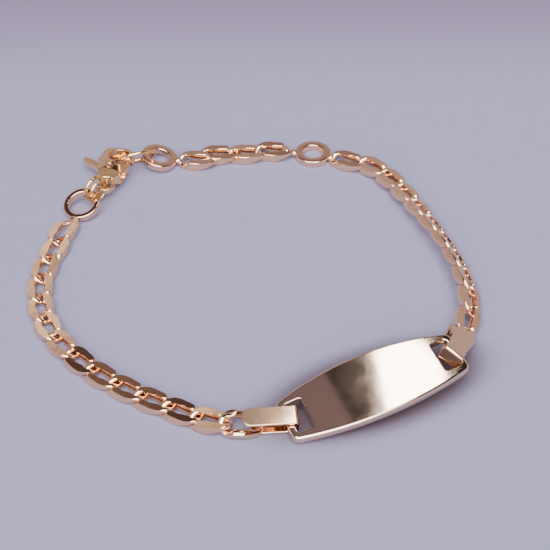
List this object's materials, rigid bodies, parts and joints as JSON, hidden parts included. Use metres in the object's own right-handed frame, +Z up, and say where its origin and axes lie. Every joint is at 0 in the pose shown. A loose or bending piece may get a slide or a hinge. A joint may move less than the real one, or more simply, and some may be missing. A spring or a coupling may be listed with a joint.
{
  "type": "id bracelet",
  "caption": "Identity bracelet, fastened and lying flat: an arched blank plate on a flat curb chain, closed with a lobster clasp.",
  "frame": {"origin": "centre of the bounding box on the surface the bracelet lies on", "axes": "+Z up from the surface, +X to the viewer's right in the picture, +Y to the back, away from the plate"},
  "size_m": [0.0525, 0.0528, 0.0051],
  "materials": {
    "plate_gold": "polished",
    "chain_gold": "polished",
    "clasp_gold": "polished"
  },
  "bodies": {
    "bracelet": {"plate": "plate_gold", "connector_left": "plate_gold", "connector_right": "plate_gold", "adjusting_ring": "chain_gold", "front_ring": "chain_gold", "end_ring": "chain_gold", "jump_ring_left": "clasp_gold", "jump_ring_right": "clasp_gold", "claw_ring": "clasp_gold", "clasp_body": "clasp_gold", "clasp_pin": "clasp_gold", "link_01": "chain_gold", "link_02": "chain_gold", "link_03": "chain_gold", "link_04": "chain_gold", "link_05": "chain_gold", "link_06": "chain_gold", "link_07": "chain_gold", "link_08": "chain_gold", "link_09": "chain_gold", "link_10": "chain_gold", "link_11": "chain_gold", "link_12": "chain_gold", "link_13": "chain_gold", "link_14": "chain_gold", "link_15": "chain_gold", "link_16": "chain_gold", "link_17": "chain_gold", "link_18": "chain_gold", "link_19": "chain_gold", "link_20": "chain_gold", "link_21": "chain_gold", "link_22": "chain_gold", "link_23": "chain_gold", "link_24": "chain_gold"},
    "lever": {"clasp_lever": "clasp_gold"}
  },
  "joints": [
    {"name": "lever_hinge", "type": "hinge", "parent": "bracelet", "child": "lever", "pos_m": [-0.01811, 0.01897, 0.00157], "axis": [0, 0, 1], "range_deg": [0, 25], "stiffness_Nm_per_rad": 0.0005, "springref_deg": -11.46}
  ]
}
